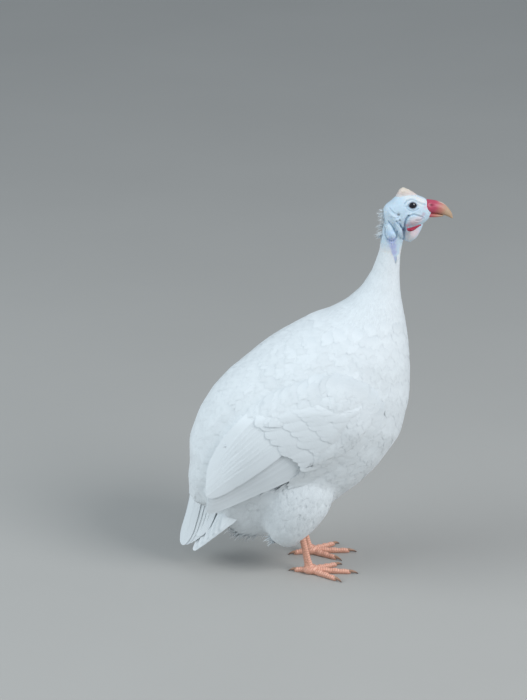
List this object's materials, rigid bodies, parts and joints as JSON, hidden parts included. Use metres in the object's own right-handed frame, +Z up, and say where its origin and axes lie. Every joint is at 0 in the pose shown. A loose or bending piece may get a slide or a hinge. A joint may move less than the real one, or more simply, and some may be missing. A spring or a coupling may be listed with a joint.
{
  "type": "guinea fowl",
  "caption": "White helmeted guinea fowl standing upright, life size, with a bare pale head, short casque, red wattles, layered folded wings and a drooping tail",
  "frame": {"origin": "On the floor at Z = 0, under the middle of the space that the bird takes up.", "axes": "Metres, right-handed, +Z up. The bird faces +X and its left side is to +Y."},
  "size_m": [0.2994, 0.1694, 0.4408],
  "materials": {
    "plumage": "soft matt white feathers with a faint cool cast",
    "skin": "thin wrinkled pale blue skin, slightly moist",
    "casque": "dull bony horn, pinkish and worn",
    "bill": "smooth keratin, red at the base and horn coloured at the tip",
    "eye": "wet and very dark",
    "wattle": "crimson flesh with fine grain",
    "scales": "orange pink overlapping plates",
    "claws": "worn brown horn"
  },
  "bodies": {
    "root": {"torso": "plumage", "neck": "plumage", "head": "skin", "casque": "casque", "bill_upper": "bill", "bill_lower": "bill", "eye_right": "eye", "eye_left": "eye", "wattle_right": "wattle", "wattle_left": "wattle", "wing_right": "plumage", "wing_left": "plumage", "tail": "plumage", "thigh_right": "plumage", "thigh_left": "plumage", "shank_right": "scales", "shank_left": "scales", "foot_right": "scales", "foot_left": "scales", "toe_inner_right": "scales", "claw_inner_right": "claws", "toe_inner_left": "scales", "claw_inner_left": "claws", "toe_middle_right": "scales", "claw_middle_right": "claws", "toe_middle_left": "scales", "claw_middle_left": "claws", "toe_outer_right": "scales", "claw_outer_right": "claws", "toe_outer_left": "scales", "claw_outer_left": "claws", "toe_hind_right": "scales", "claw_hind_right": "claws", "toe_hind_left": "scales", "claw_hind_left": "claws"}
  },
  "joints": []
}
